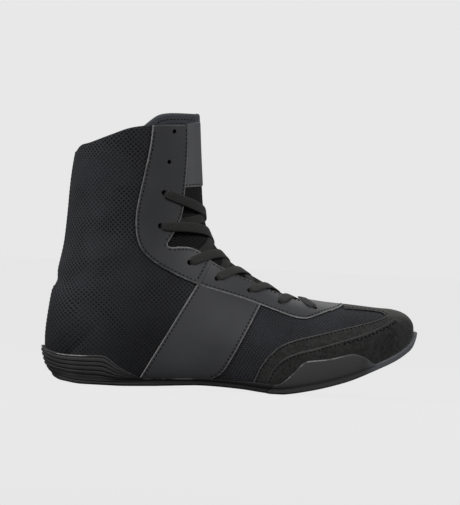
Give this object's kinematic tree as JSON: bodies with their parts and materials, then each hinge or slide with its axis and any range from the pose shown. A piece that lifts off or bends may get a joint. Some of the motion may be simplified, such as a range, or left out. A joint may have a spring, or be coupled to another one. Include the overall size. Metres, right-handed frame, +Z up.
{
  "type": "boxing shoe",
  "caption": "High-top lace-up boxing shoe for the right foot with a mesh upper, leather eyestay and saddle, suede toe cap, padded tongue and a thin rubber cup sole with toe spring.",
  "frame": {"origin": "on the floor under the middle of the shoe's overall length and width", "axes": "+X from heel to toe, +Y from the outer side to the inner side, +Z up from the floor that the shoe stands on"},
  "size_m": [0.2852, 0.1054, 0.2088],
  "materials": {
    "mesh_cloth": "matt black air mesh with rows of fine holes",
    "synthetic_leather": "smooth matt dark grey synthetic leather",
    "suede": "black suede with a short nap",
    "rubber": "dark grey moulded rubber",
    "lining": "black knitted lining",
    "lace": "flat woven black-grey lace"
  },
  "bodies": {
    "root": {"outsole": "rubber", "insole": "lining", "upper": "mesh_cloth", "tongue": "mesh_cloth", "tongue_patch": "synthetic_leather", "eyestay": "synthetic_leather", "saddle_outer": "synthetic_leather", "saddle_inner": "synthetic_leather", "toe_cap": "suede", "lace_bar": "lace", "lace_crossing_1": "lace", "lace_crossing_2": "lace", "lace_crossing_3": "lace", "lace_crossing_4": "lace", "lace_crossing_5": "lace", "lace_crossing_6": "lace"}
  },
  "joints": []
}
